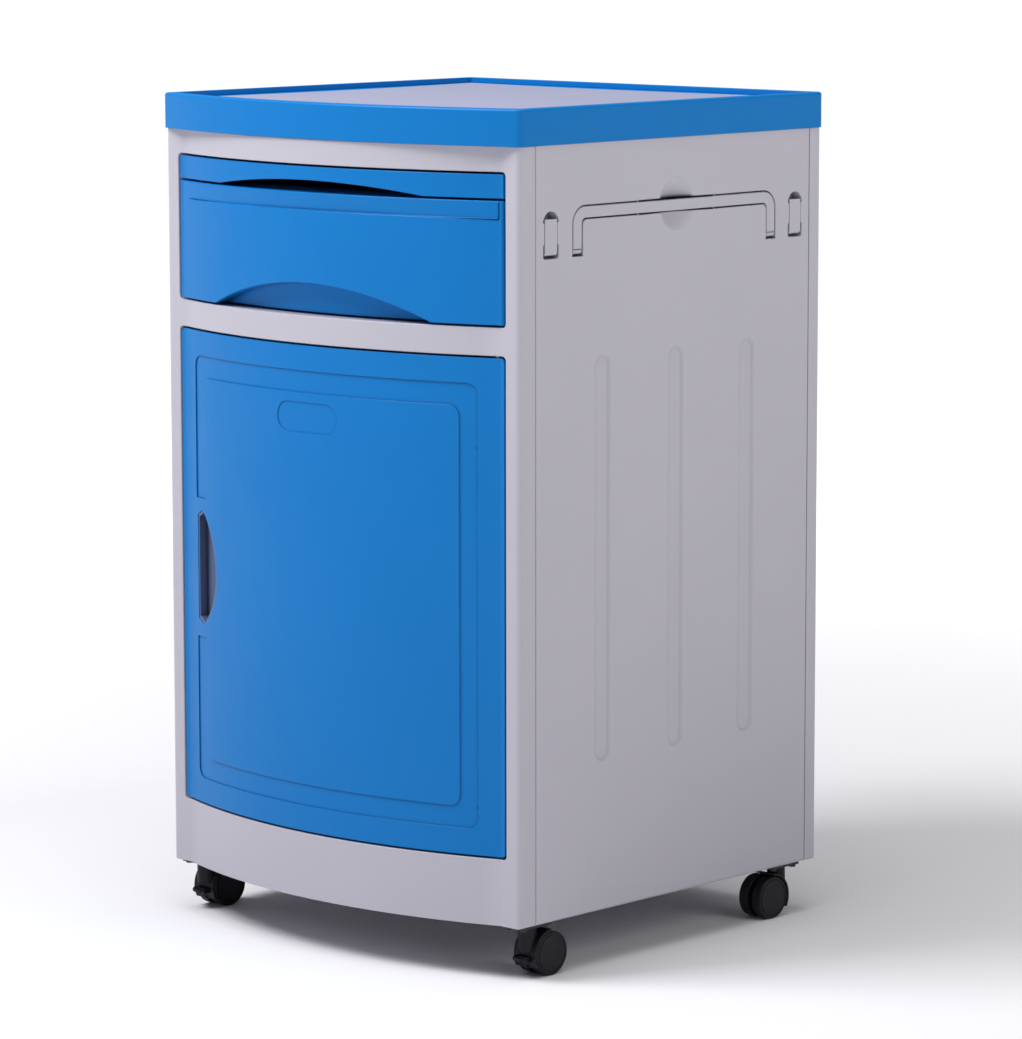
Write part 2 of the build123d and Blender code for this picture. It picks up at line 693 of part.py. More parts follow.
def tray_screws():
    """Screws up through the board into the top flange of its lip."""
    return [screw((x, -180.0, TRAY_BOARD_Z[0]), "Z", 1, 11.0, 3.2, 1.6) for x in (-120.0, 0.0, 120.0)]


# ---------------------------------------------------------------- drawer

def band_cutter():
    """The groove along the drawer front's top band, deepest in the middle and fading at both ends."""
    middle_x = (BAND_FROM_X + BAND_TO_X) / 2
    start = (BAND_FROM_X, bow_y(BAND_FROM_X, -DRAWER_PROUD))
    end = (BAND_TO_X, bow_y(BAND_TO_X, -DRAWER_PROUD))
    middle = (middle_x, bow_y(middle_x, -DRAWER_PROUD) + BAND_DEPTH)
    face = make_face(
        ThreePointArc(start, middle, end) + Polyline(end, (end[0], FAR_Y), (start[0], FAR_Y), start)
    )
    return slab(face, DRAWER_BAND_Z, DRAWER_FRONT_Z[1] + 1)


def drawer_front():
    """The drawer's bowed front: a hollow moulding with an arched finger scoop under its lower edge."""
    low, high = DRAWER_FRONT_Z
    solid = slab(front_plan(-DRAWER_PROUD, FRONT_HALF, FRONT_BACK_Y, 3.0), low, high)
    hollow = slab(
        front_plan(FRONT_WALL + 0.6, FRONT_HALF - FRONT_WALL, FRONT_BACK_Y + 9),
        low + FRONT_WALL, high - FRONT_WALL,
    )
    scoop_wall = 3.0
    scoop_view = arch(DRAWER_NOTCH_HALF, low - 0.01, DRAWER_NOTCH_RISE)
    wall_view = arch(DRAWER_NOTCH_HALF + 9.0, low, DRAWER_NOTCH_RISE + scoop_wall)
    scoop = along_y(scoop_view, FAR_Y, -120.0) & bow_layer(-3.0, DRAWER_SCOOP_DEPTH, FRONT_HALF - 4)
    wall = along_y(wall_view, FAR_Y, -120.0) & bow_layer(
        FRONT_WALL, DRAWER_SCOOP_DEPTH + scoop_wall, FRONT_HALF - FRONT_WALL
    )
    front = solid - hollow + wall - scoop - band_cutter()
    for x, z in DRAWER_BOSSES:
        reach = FRONT_BACK_Y - bow_y(x) - 2.0
        front += rod((x, FRONT_BACK_Y - reach / 2, z), "Y", 5.0, reach)
    for piece in drawer_screws():
        front -= piece
    return front


def drawer_box():
    """The open drawer body with a sliding rail moulded along each side."""
    x = (-DRAWER_BOX_HALF, DRAWER_BOX_HALF)
    y = (FRONT_BACK_Y, DRAWER_BACK_Y)
    box = block(x, y, DRAWER_BOX_Z)
    box = fillet(box.edges().filter_by(Axis.Z), 6.0)
    inside = block(
        (x[0] + BOX_WALL, x[1] - BOX_WALL), (y[0] + BOX_WALL, y[1] - BOX_WALL),
        (DRAWER_BOX_Z[0] + BOX_WALL, HEIGHT),
    )
    inside = fillet(inside.edges().filter_by(Axis.Z), 4.0)
    box -= inside
    rail = block((DRAWER_BOX_HALF - 1, DRAWER_RAIL_X), (y[0] + 12, y[1] - 2), DRAWER_RAIL_Z)
    for piece in both(rail):
        box += piece
    for piece in drawer_screws():
        box -= piece
    return box


def drawer_screws():
    """Screws through the drawer body's front wall into bosses inside the drawer front."""
    head_y = FRONT_BACK_Y + BOX_WALL
    return [screw((x, head_y, z), "Y", -1, 11.0) for x, z in DRAWER_BOSSES]


# ---------------------------------------------------------------- door

def door_view(extra=0.0):
    half = OPENING_HALF - DOOR_EDGE_GAP - extra
    return rounded((-half, half), (DOOR_Z[0] + DOOR_EDGE_GAP + extra, DOOR_Z[1] - DOOR_EDGE_GAP - extra), 4.0)


def grip_view(grow=0.0):
    """The D-shaped hand hole: a straight side to the left and a bulging side to the right."""
    left, right = GRIP_X[0] - grow, GRIP_X[1] + grow
    low, high = GRIP_Z[0] - grow, GRIP_Z[1] + grow
    chamfer_z = 14.0
    waist = 22.0
    corner = left + 9.0
    outline = (
        Polyline((corner, low), (left, low + 5.0), (left, high - 5.0), (corner, high))
        + ThreePointArc((corner, high), (right - 8.0, high - waist), (right, (low + high) / 2 - 6.0))
        + ThreePointArc((right, (low + high) / 2 - 6.0), (right - 6.0, low + chamfer_z + 6.0), (corner, low))
    )
    return make_face(outline)


def bush_centres():
    margin = DOOR_EDGE_GAP + BUSH_LENGTH / 2
    return [(HINGE_X, HINGE_Y, z) for z in (DOOR_Z[0] + margin, DOOR_Z[1] - margin)]


def bush_blanks():
    """The room the hinge bushes take up in the door."""
    return [rod(centre, "Z", BUSH_R, BUSH_LENGTH) for centre in bush_centres()]


def hinge_bushes():
    """Nylon bushes in the door's top and bottom corners that turn on the frame's pins."""
    bores = [rod(centre, "Z", HINGE_PIN_R + RUN_FIT, BUSH_LENGTH + 2.0) for centre in bush_centres()]
    return [blank - bore for blank, bore in zip(bush_blanks(), bores)]


def door_blank(near, far, extra=0.0):
    return along_y(door_view(extra), FAR_Y, -120.0) & bow_layer(near, far, OPENING_HALF + 2)


def trough():
    """The shallow channel round the door's middle field, broken by a bridge beside the hand hole."""
    half, low, high = TROUGH_OUTER
    ring = rounded((-half, half), (low, high), TROUGH_R)
    half, low, high = TROUGH_INNER
    ring -= rounded((-half, half), (low, high), TROUGH_R)
    ring -= Pos((BRIDGE_X - WIDTH) / 2, sum(BRIDGE_Z) / 2) * Rectangle(
        WIDTH + BRIDGE_X, BRIDGE_Z[1] - BRIDGE_Z[0]
    )
    return along_y(ring, FAR_Y, -120.0) & bow_layer(DOOR_INSET - 1, DOOR_INSET + TROUGH_DEPTH, HALF_W)


def door_skin():
    """The door's bowed outer shell with its returned edges."""
    skin = door_blank(DOOR_INSET, DOOR_THICK)
    skin -= door_blank(DOOR_INSET + FRONT_WALL, DOOR_THICK + 8, FRONT_WALL)
    for centre in bush_centres():
        boss = rod(centre, "Z", BUSH_R + 1.5, BUSH_LENGTH)
        skin += boss & door_blank(DOOR_INSET + 1, DOOR_LINER_INSET - FIT, 1.0)
    skin -= trough()
    label = rounded(LABEL_X, LABEL_Z, (LABEL_Z[1] - LABEL_Z[0]) / 2 - 0.01)
    skin -= along_y(label, FAR_Y, -120.0) & bow_layer(DOOR_INSET - 1, DOOR_INSET + LABEL_DEPTH)
    skin -= along_y(grip_view(), FAR_Y, -120.0)
    for x, z in DOOR_BOSSES:
        skin += rod((x, bow_y(x) + 9.0, z), "Y", 4.5, 13.0) & door_blank(
            DOOR_INSET + 1, DOOR_LINER_INSET - 0.1, 1.0
        )
    for piece in bush_blanks() + door_screws():
        skin -= piece
    return skin


def door_liner():
    """The door's inner cover, set inside the skin's edges."""
    liner = door_blank(DOOR_LINER_INSET, DOOR_THICK, FRONT_WALL + 0.3)
    for piece in bush_blanks() + door_screws():
        liner -= piece
    return liner


def door_screws():
    """Screws through the inner cover into bosses on the door skin."""
    return [screw((x, bow_y(x, DOOR_THICK), z), "Y", -1, 10.0, 3.0, 1.5) for x, z in DOOR_BOSSES]


def door_grip():
    """The dark hand cup set into the door."""
    cup = along_y(grip_view(-0.05), FAR_Y, -120.0) & bow_layer(DOOR_INSET + 0.6, GRIP_DEPTH)
    hollow = along_y(grip_view(-2.0), FAR_Y, -120.0) & bow_layer(-5.0, GRIP_DEPTH - 2.0)
    return cup - hollow


def catch_strike():
    """The steel plate on the door's inner face that the magnet holds."""
    view = rounded((-201.0, -183.0), (CATCH_Z - 20.0, CATCH_Z + 20.0), 2.0)
    return along_y(view, FAR_Y, -120.0) & bow_layer(DOOR_THICK, DOOR_THICK + 1.0)


def catch_housing():
    """The plastic body of the magnetic catch, screwed to the left side panel's front flange."""
    body = block((-FLANGE_X, -184.0), (-166.4, -150.0), (CATCH_Z - 18.0, CATCH_Z + 18.0))
    body += block((-216.0, -FLANGE_X + 2), (-161.8, -158.5), (CATCH_Z - 12.0, CATCH_Z + 12.0))
    return body - catch_magnet()


def catch_magnet():
    return block((-200.0, -188.0), (-168.5, -158.0), (CATCH_Z - 14.0, CATCH_Z + 14.0))


# ---------------------------------------------------------------- side accessories

def towel_bar(side):
    """The U-shaped rail that lies flush in the side and folds out on its feet."""
    bar = along_x(bar_outline(0.0), HALF_W - BAR_THICK, HALF_W)
    x, z = bar_pivot()
    foot_r = 3.9
    for end in (-1, 1):
        y = SIDE_MIDDLE_Y + end * (BAR_HALF_Y - BAR_LEG / 2)
        leg_y = (y - BAR_LEG / 2 - 0.5, y + BAR_LEG / 2 + 0.5)
        bar -= block((HALF_W - BAR_THICK - 1, HALF_W + 1), leg_y, (BAR_Z[0] - 1, z))
        bar += rod((x, y, z), "Y", foot_r, BAR_LEG)
        bar -= rod((x, y, z), "Y", PIVOT_R + RUN_FIT, BAR_LEG + 2)
    return mirrored(bar, side)


def hook(y, side):
    """A flat strap with a turned lip, flush in its pocket until it is folded out."""
    half = HOOK_WIDTH / 2
    x, z = hook_pivot()
    strap = block((HALF_W - HOOK_THICK, HALF_W), (y - half, y + half), (z, HOOK_Z[1]))
    strap += block(
        (HALF_W - HOOK_THICK - HOOK_LIP, HALF_W - HOOK_THICK + 1), (y - half, y + half),
        (HOOK_Z[1] - 5.0, HOOK_Z[1]),
    )
    strap += rod((x, y, z), "Y", 3.4, HOOK_WIDTH)
    strap -= block((HALF_W - HOOK_THICK - 1, HALF_W - HOOK_THICK + 2.4), (y - 20, y + 20), (z, z + 3))
    strap -= rod((x, y, z), "Y", PIVOT_R + RUN_FIT, HOOK_WIDTH + 2)
    return mirrored(strap, side)


# ---------------------------------------------------------------- casters

def caster_places():
    """Name, stem X, stem Y and the way the hood faces (-1 front, +1 back) of each caster."""
    return [
        ("front_left", -STEM_X, STEM_Y[0], -1),
        ("front_right", STEM_X, STEM_Y[0], -1),
        ("rear_left", -STEM_X, STEM_Y[1], 1),
        ("rear_right", STEM_X, STEM_Y[1], 1),
    ]


def caster_plates():
    plates = []
    for _, x, y, _ in caster_places():
        z = (BODY_BOTTOM - PLATE_THICK, BODY_BOTTOM)
        plate = block((x - PLATE_HALF_X, x + PLATE_HALF_X), (y - PLATE_HALF_Y, y + PLATE_HALF_Y), z)
        plate = fillet(plate.edges().filter_by(Axis.Z), 4.0)
        for piece in caster_screws() + king_pins():
            plate -= piece
        plates.append(plate)
    return plates


def caster_screws():
    screws = []
    for _, x, y, _ in caster_places():
        for dx in (-SCREW_SPREAD_X, SCREW_SPREAD_X):
            for dy in (-SCREW_SPREAD_Y, SCREW_SPREAD_Y):
                head = (x + dx, y + dy, BODY_BOTTOM - PLATE_THICK)
                screws.append(screw(head, "Z", 1, 14.0, 3.2, 1.7))
    return screws


def king_pins():
    """The stem that each caster swivels on, riveted into its plate."""
    pins = []
    for _, x, y, _ in caster_places():
        stem = rod((x, y, (KING_PIN_FOOT + 48.0) / 2), "Z", KING_PIN_R, 48.0 - KING_PIN_FOOT)
        collar = rod((x, y, BODY_BOTTOM - PLATE_THICK - 0.75), "Z", 7.0, 1.5)
        pins.append(stem + collar)
    return pins


def caster_hood(x, y, facing):
    """The swivelling body: a web between the wheels, a boss for the stem and a hood over the wheels."""
    axle_y = -TRAIL * facing
    axle = (0, axle_y, WHEEL_R)
    web = rod(axle, "X", 13.0, 2 * WEB_HALF)
    web += block((-WEB_HALF, WEB_HALF), tuple(sorted((0.0, axle_y))), (WHEEL_R - 3, 38.0))
    boss = rod((0, 0, 34.5), "Z", 8.5, 20.6)
    outer = rod(axle, "X", HOOD_R, CASTER_WIDTH)
    inner = rod(axle, "X", HOOD_R - HOOD_WALL, CASTER_WIDTH + 2)
    low = 9.0
    keep = block((-20, 20), tuple(sorted((axle_y + facing * 1.0, facing * 30.0))), (low, 60.0))
    hood = (outer - inner) & keep
    solid = web + boss + hood
    spine_y = tuple(sorted((axle_y + facing * 10.0, axle_y + facing * (HOOD_R - 1))))
    solid += block((-WEB_HALF, WEB_HALF), spine_y, (low, 34.0))
    wheel_room = rod((8.0, axle_y, WHEEL_R), "X", WHEEL_R + 0.8, 11.2)
    wheel_room += rod((-8.0, axle_y, WHEEL_R), "X", WHEEL_R + 0.8, 11.2)
    solid -= wheel_room
    solid -= rod((0, 0, KING_PIN_FOOT + 9.5), "Z", KING_PIN_R + RUN_FIT, 20.0)
    solid -= rod(axle, "X", AXLE_R + RUN_FIT, 10.0)
    return Pos(x, y, 0) * solid


def caster_wheels(x, y, facing):
    """Two thin wheels, one each side of the web, with closed outer faces."""
    wheels = []
    for sx in (-1, 1):
        centre = (x + sx * (CASTER_WIDTH - WHEEL_WIDTH) / 2, y - TRAIL * facing, WHEEL_R)
        wheel = rod(centre, "X", WHEEL_R, WHEEL_WIDTH)
        wheel = fillet(wheel.edges().filter_by(GeomType.CIRCLE), WHEEL_EDGE_R)
        face = (centre[0] + sx * WHEEL_WIDTH / 2, centre[1], centre[2])
        wheel -= rod(face, "X", HUB_LINE_R, 1.2) - rod(face, "X", HUB_LINE_R - 0.8, 1.3)
        wheel -= caster_axle(x, y, facing)
        wheels.append(wheel)
    return wheels


def caster_axle(x, y, facing):
    return rod((x, y - TRAIL * facing, WHEEL_R), "X", AXLE_R, 19.0)


def lever_lugs(x, y):
    """The two ears on a braked caster's hood that carry the foot lever."""
    lever_y, lever_z = LEVER_AT
    lugs = []
    for low, high in ((-7.4, -5.2), (5.2, 7.4)):
        lug = block((low, high), (lever_y - 2.4, -1.5), (lever_z - 2.5, lever_z + 2.5))
        lug += rod(((low + high) / 2, lever_y - 2.4, lever_z), "X", 2.5, high - low)
        lug -= rod((0, lever_y, lever_z), "X", TRUNNION_R + RUN_FIT, 20.0)
        lug -= rod((0, TRAIL, WHEEL_R), "X", HOOD_R - 0.5, 40.0)
        lugs.append(Pos(x, y, 0) * lug)
    return lugs


def brake_lever(x, y):
    """The foot lever on a front caster: a short tab on a barrel with a trunnion at each end."""
    lever_y, lever_z = LEVER_AT
    barrel = rod((0, lever_y, lever_z), "X", LEVER_R, 10.0)
    tab = block((-5.0, 5.0), (lever_y - 6.5, lever_y), (lever_z - 1.2, lever_z + 1.2))
    outer_edges = tab.edges().filter_by(Axis.Z).group_by(Axis.Y)[0]
    tab = fillet(outer_edges, 2.0)
    trunnions = rod((0, lever_y, lever_z), "X", TRUNNION_R, 14.4)
    return Pos(x, y, 0) * (barrel + tab + trunnions)


# ---------------------------------------------------------------- write the parts

def parts():
    nodes = {
        "front_frame": front_frame(),
        "side_panel_left": side_panel("left"),
        "side_panel_right": side_panel("right"),
        "back_panel": back_panel(),
        "base_panel": base_panel(),
        "base_skirt": base_skirt(),
        "mid_deck": mid_deck(),
        "inner_shelf": inner_shelf(),
        "shelf_pins": shelf_pins(),
        "top_rim": top_rim(),
        "top_deck": top_deck(),
        "top_posts": top_posts(),
        "top_inlay": top_inlay(),
        "frame_screws": frame_screws(),
        "top_screws": top_screws(),
        "hinge_pins": hinge_pins(),
        "drawer_runner_left": drawer_runner("left"),
        "drawer_runner_right": drawer_runner("right"),
        "tray_runner_left": tray_runner("left"),
        "tray_runner_right": tray_runner("right"),
        "runner_screws": runner_screws(),
        "catch_housing": catch_housing(),
        "catch_magnet": catch_magnet(),
        "tray_front": tray_front(),
        "tray_board": tray_board(),
        "tray_screws": tray_screws(),
        "drawer_front": drawer_front(),
        "drawer_box": drawer_box(),
        "drawer_screws": drawer_screws(),
        "door_skin": door_skin(),
        "door_liner": door_liner(),
        "door_grip": door_grip(),
        "door_bushes": hinge_bushes(),
        "door_screws": door_screws(),
        "catch_strike": catch_strike(),
        "accessory_pins": [
            pin for side in ("left", "right") for pin in towel_bar_pins(side) + hook_pins(side)
        ],
        "caster_plates": caster_plates(),
        "caster_screws": caster_screws(),
        "caster_king_pins": king_pins(),
    }
    for side in ("left", "right"):
        nodes[f"towel_bar_{side}"] = towel_bar(side)
        for place, y in zip(("front", "rear"), hook_centres()):
            nodes[f"hook_{place}_{side}"] = hook(y, side)
    for name, x, y, facing in caster_places():
        nodes[f"caster_hood_{name}"] = caster_hood(x, y, facing)
        nodes[f"caster_wheels_{name}"] = caster_wheels(x, y, facing)
        nodes[f"caster_axle_{name}"] = caster_axle(x, y, facing)
        if facing < 0:
            for lug in lever_lugs(x, y):
                nodes[f"caster_hood_{name}"] += lug
            nodes[f"brake_lever_{name}"] = brake_lever(x, y)
    return nodes


os.makedirs("parts", exist_ok=True)
for node, solids in parts().items():
    shape = Compound(children=solids) if isinstance(solids, list) else solids
    export_step(shape, f"parts/{node}.step")
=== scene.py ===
import json
import math

import bmesh
import bpy
from mathutils import Euler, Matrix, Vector


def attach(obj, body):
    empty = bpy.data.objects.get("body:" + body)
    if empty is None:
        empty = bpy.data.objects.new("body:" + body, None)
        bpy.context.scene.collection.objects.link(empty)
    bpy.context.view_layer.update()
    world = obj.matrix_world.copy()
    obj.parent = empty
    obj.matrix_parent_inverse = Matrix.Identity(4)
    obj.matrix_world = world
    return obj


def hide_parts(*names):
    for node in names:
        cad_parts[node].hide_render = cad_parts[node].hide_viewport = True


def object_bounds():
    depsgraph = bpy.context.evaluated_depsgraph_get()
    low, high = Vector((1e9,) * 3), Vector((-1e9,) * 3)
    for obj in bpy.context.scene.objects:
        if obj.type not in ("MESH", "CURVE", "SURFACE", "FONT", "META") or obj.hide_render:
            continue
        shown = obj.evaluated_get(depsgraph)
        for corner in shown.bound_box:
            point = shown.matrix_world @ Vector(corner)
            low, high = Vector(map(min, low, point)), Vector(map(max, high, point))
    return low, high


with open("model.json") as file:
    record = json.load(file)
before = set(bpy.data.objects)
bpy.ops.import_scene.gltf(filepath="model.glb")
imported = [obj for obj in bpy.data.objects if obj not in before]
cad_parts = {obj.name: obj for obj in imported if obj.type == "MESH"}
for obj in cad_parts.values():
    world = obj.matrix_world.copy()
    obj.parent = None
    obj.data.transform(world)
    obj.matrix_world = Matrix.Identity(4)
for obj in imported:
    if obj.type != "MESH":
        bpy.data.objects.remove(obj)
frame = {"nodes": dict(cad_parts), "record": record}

# A hospital bedside cabinet: moulded ABS carcass, blue fronts, fold-out rails and hooks, nylon casters.
# Everything is in metres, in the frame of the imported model.

MM = 0.001
CAD_LOW, CAD_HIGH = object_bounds()
SCENE = bpy.context.scene


# ---------------------------------------------------------------- node and colour helpers

def linear(hex_colour):
    """An sRGB hex colour as linear RGBA."""
    channels = [int(hex_colour[i:i + 2], 16) / 255 for i in (1, 3, 5)]
    return (*[c / 12.92 if c <= 0.04045 else ((c + 0.055) / 1.055) ** 2.4 for c in channels], 1.0)


def add(tree, kind, inputs=None, **settings):
    """Adds a node, sets its properties, and gives each input a value or a link."""
    node = tree.nodes.new(kind)
    for key, value in settings.items():
        setattr(node, key, value)
    for socket, value in (inputs or {}).items():
        if isinstance(value, bpy.types.NodeSocket):
            tree.links.new(value, node.inputs[socket])
        else:
            node.inputs[socket].default_value = value
    return node


def per_metre(size_mm):
    """The texture scale at which one cell of a pattern measures size_mm."""
    return 1 / (size_mm * MM)


def new_material(name):
    """A material with an empty node tree."""
    material = bpy.data.materials.new(name)
    material.use_nodes = True
    material.node_tree.nodes.clear()
    return material, material.node_tree


# Moulded plastic: its IOR, the reach of the painted shade in inner corners, the flow clouds and the handling
# patches in mm, and how far handling changes the roughness.
ABS_IOR = 1.53
CORNER_REACH_MM = 3.0
CLOUD_MM = 160
HANDLING_MM = 45
HANDLING_SHEEN = 0.04


def moulded_surface(name, shades, corner_shade_colour, roughness, grain_mm, grain_depth_mm, mirror=0.35):
    """Injection-moulded plastic: faint flow clouding in the colour, and a fine spark-eroded grain.

    The clouding is a few percent and about a hand wide, as resin cools unevenly behind the gate. Handling
    leaves patches that are slightly glossier. The grain breaks reflections up into a satin sheen, and shades
    its own pits, so the mirror share stays below that of a polished surface. Real grain is about 0.1 mm wide,
    and is drawn about 1 mm wide so that it shows. Painted shade darkens the colour in the inner corners of
    the relief where ambient occlusion finds them, which draws the grooves.
    """
    material, tree = new_material(name)
    place = add(tree, "ShaderNodeTexCoord").outputs["Object"]
    clouds = add(tree, "ShaderNodeTexNoise", {"Vector": place, "Scale": per_metre(CLOUD_MM), "Detail": 3.0})
    tint = add(
        tree, "ShaderNodeMix",
        {0: clouds.outputs["Fac"], 6: linear(shades[0]), 7: linear(shades[1])}, data_type="RGBA",
    )
    # Painted shade: where ambient occlusion finds an inner corner or groove, the colour is darkened towards
    # the given dark tint.
    corners = add(
        tree, "ShaderNodeAmbientOcclusion", {"Distance": CORNER_REACH_MM * MM}, only_local=True, samples=6,
    )
    open_air = add(
        tree, "ShaderNodeMapRange",
        {"Value": corners.outputs["AO"], "From Min": 0.4, "From Max": 0.95},
    )
    corner_shaded = add(
        tree, "ShaderNodeMix",
        {0: open_air.outputs["Result"], 6: linear(corner_shade_colour), 7: tint.outputs[2]}, data_type="RGBA",
    )
    handling = add(
        tree, "ShaderNodeTexNoise", {"Vector": place, "Scale": per_metre(HANDLING_MM), "Detail": 5.0},
    )
    sheen = add(
        tree, "ShaderNodeMapRange",
        {"Value": handling.outputs["Fac"], "From Min": 0.3, "From Max": 0.7,
         "To Min": roughness - HANDLING_SHEEN, "To Max": roughness + HANDLING_SHEEN},
    )
    grain = add(tree, "ShaderNodeTexNoise", {"Vector": place, "Scale": per_metre(grain_mm), "Detail": 2.0})
    relief = add(
        tree, "ShaderNodeBump",
        {"Height": grain.outputs["Fac"], "Strength": 0.35, "Distance": grain_depth_mm * MM},
    )
    shader = add(
        tree, "ShaderNodeBsdfPrincipled",
        {"Base Color": corner_shaded.outputs[2], "Roughness": sheen.outputs["Result"], "IOR": ABS_IOR,
         "Specular IOR Level": mirror, "Normal": relief.outputs["Normal"]},
    )
    add(tree, "ShaderNodeOutputMaterial", {"Surface": shader.outputs["BSDF"]})
    return material


# The crystals of the zinc, the patches in the black coat and the ferrite's powder grain, in mm.
CRYSTAL_MM = 1.2
COAT_PATCH_MM = 6
POWDER_MM = 0.5


def zinc_plated_steel():
    """Bright zinc plating: a cool grey metal. Its fine crystals are drawn 1.2 mm wide so that they show."""
    material, tree = new_material("zinc_plated_steel")
    place = add(tree, "ShaderNodeTexCoord").outputs["Object"]
    crystals = add(tree, "ShaderNodeTexVoronoi", {"Vector": place, "Scale": per_metre(CRYSTAL_MM)})
    rough = add(
        tree, "ShaderNodeMapRange",
        {"Value": crystals.outputs["Distance"], "From Max": 1.0, "To Min": 0.24, "To Max": 0.38},
    )
    shader = add(
        tree, "ShaderNodeBsdfPrincipled",
        {"Base Color": linear("#b9bcc0"), "Metallic": 1.0, "Roughness": rough.outputs["Result"]},
    )
    add(tree, "ShaderNodeOutputMaterial", {"Surface": shader.outputs["BSDF"]})
    return material


def black_coated_steel():
    """Steel under a thin black coat: dark, with a low waxy shine that varies from place to place."""
    material, tree = new_material("black_coated_steel")
    place = add(tree, "ShaderNodeTexCoord").outputs["Object"]
    patches = add(
        tree, "ShaderNodeTexNoise", {"Vector": place, "Scale": per_metre(COAT_PATCH_MM), "Detail": 3.0},
    )
    rough = add(
        tree, "ShaderNodeMapRange", {"Value": patches.outputs["Fac"], "To Min": 0.4, "To Max": 0.6},
    )
    shader = add(
        tree, "ShaderNodeBsdfPrincipled",
        {"Base Color": linear("#1c1d20"), "Roughness": rough.outputs["Result"]},
    )
    add(tree, "ShaderNodeOutputMaterial", {"Surface": shader.outputs["BSDF"]})
    return material


def sintered_ferrite():
    """Sintered ferrite: dark grey and dull, with the pressed powder's grain drawn 0.5 mm wide to show."""
    material, tree = new_material("sintered_ferrite")
    place = add(tree, "ShaderNodeTexCoord").outputs["Object"]
    powder = add(tree, "ShaderNodeTexNoise", {"Vector": place, "Scale": per_metre(POWDER_MM), "Detail": 3.0})
    relief = add(
        tree, "ShaderNodeBump", {"Height": powder.outputs["Fac"], "Strength": 0.4, "Distance": 0.05 * MM},
    )
    shader = add(
        tree, "ShaderNodeBsdfPrincipled",
        {"Base Color": linear("#34353a"), "Roughness": 0.6, "Normal": relief.outputs["Normal"]},
    )
    add(tree, "ShaderNodeOutputMaterial", {"Surface": shader.outputs["BSDF"]})
    return material


# Each plastic: name, two shades of colour, colour of the painted shade in inner corners, roughness, grain
# width and depth in mm, and mirror share where it isn't the usual one.
MATERIALS = {
    # The carcass: pale lavender grey, satin.
    "grey_abs": moulded_surface(
        "moulded_abs_lavender_grey", ("#b4b1bb", "#bab7c1"), "#5a5860", 0.42, 0.9, 0.03,
    ),
    # The fronts and the top: saturated blue, a little glossier than the carcass.
    "blue_abs": moulded_surface(
        "moulded_abs_blue", ("#0a71b8", "#0d76bf"), "#04305c", 0.34, 0.8, 0.02, 0.12,
    ),
    # The top's inlay: matt and coarser, against slipping.
    "inlay_abs": moulded_surface(
        "textured_abs_inlay", ("#9497ae", "#9a9db4"), "#6d7084", 0.55, 1.2, 0.08,
    ),
    # Linings, drawer body and tray board: plain pale grey.
    "inner_abs": moulded_surface(
        "plain_abs_liner", ("#aaabb4", "#b2b3bb"), "#8c8d94", 0.45, 1.0, 0.03,
    ),
    # The hand cup: dark slate blue.
    "grip_abs": moulded_surface(
        "moulded_abs_slate", ("#526180", "#5a698a"), "#2c3650", 0.45, 0.8, 0.03,
    ),
    # Caster hoods and wheels: near black, dry, with dull glass fibre in the hoods.
    "caster_nylon": moulded_surface(
        "glass_filled_nylon_black", ("#121316", "#18191d"), "#0a0a0c", 0.5, 0.7, 0.05, 0.22,
    ),
    "wheel_nylon": moulded_surface(
        "moulded_nylon_black", ("#131418", "#191a1e"), "#0a0a0c", 0.46, 0.8, 0.04, 0.22,
    ),
    # Bushes, pins and catch: off-white and waxy.
    "white_nylon": moulded_surface(
        "acetal_off_white", ("#d2d1ca", "#dbdad4"), "#a3a29a", 0.4, 0.9, 0.03,
    ),
    "zinc_steel": zinc_plated_steel(),
    "black_steel": black_coated_steel(),
    "magnet": sintered_ferrite(),
}
SLOT_OF = {entry["node"]: entry["material_slot"] for entry in frame["record"]["subparts"]}


def body_of(node):
    """The body that a node belongs to."""
    for body, nodes in frame["record"]["behaviour"]["bodies"].items():
        if node in nodes:
            return body
    return None


# ---------------------------------------------------------------- moulded pieces with rounded edges

# The bowed front in plan: an arc between two flat stiles.
APEX_Y = -223.5 * MM
BOW_HALF = 199 * MM
BOW_RISE = 37 * MM
BOW_R = (BOW_HALF**2 + BOW_RISE**2) / (2 * BOW_RISE)
BOW_CENTRE_Y = APEX_Y + BOW_R

# The drawer front, which stands proud of the bow and has a recessed band along its top edge.
DRAWER_PROUD = 1.2 * MM
DRAWER_TOP_Z = 690 * MM
BAND_DEPTH = 2.4 * MM

# How close counts as on a face, how close counts as one point, and the least angle between two faces.
NEAR = 0.1 * MM
WELD = 0.002 * MM
FLAT = math.radians(0.2)

# Edges sharper than this are rounded.
SHARP = math.radians(30)


def place_piece(piece, body, slot):
    """Gives a finished piece its material and lets it ride on its body."""
    piece.data.materials.clear()
    piece.data.materials.append(MATERIALS[slot])
    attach(piece, body)


def apply_modifiers(piece):
    """Bakes a piece's modifiers into its mesh."""
    bpy.context.view_layer.update()
    graph = bpy.context.evaluated_depsgraph_get()
    mesh = bpy.data.meshes.new_from_object(piece.evaluated_get(graph))
    old = piece.data
    piece.modifiers.clear()
    piece.data = mesh
    bpy.data.meshes.remove(old)


def clean_copy(node):
    """A welded copy of a CAD piece with its flat faces joined up again."""
    mesh = frame["nodes"][node].data.copy()
    if "custom_normal" in mesh.attributes:
        mesh.attributes.remove(mesh.attributes["custom_normal"])
    shape = bmesh.new()
    shape.from_mesh(mesh)
    bmesh.ops.remove_doubles(shape, verts=shape.verts, dist=WELD)
    bmesh.ops.dissolve_limit(
        shape, angle_limit=FLAT, verts=shape.verts, edges=shape.edges,
        use_dissolve_boundaries=False, delimit=set(),
    )
    shape.to_mesh(mesh)
    shape.free()
    return mesh


def bow_y(x, inset):
    """The bowed front's outer face in plan, at a distance inside it."""
    return BOW_CENTRE_Y - math.sqrt((BOW_R - inset) ** 2 - x**2)


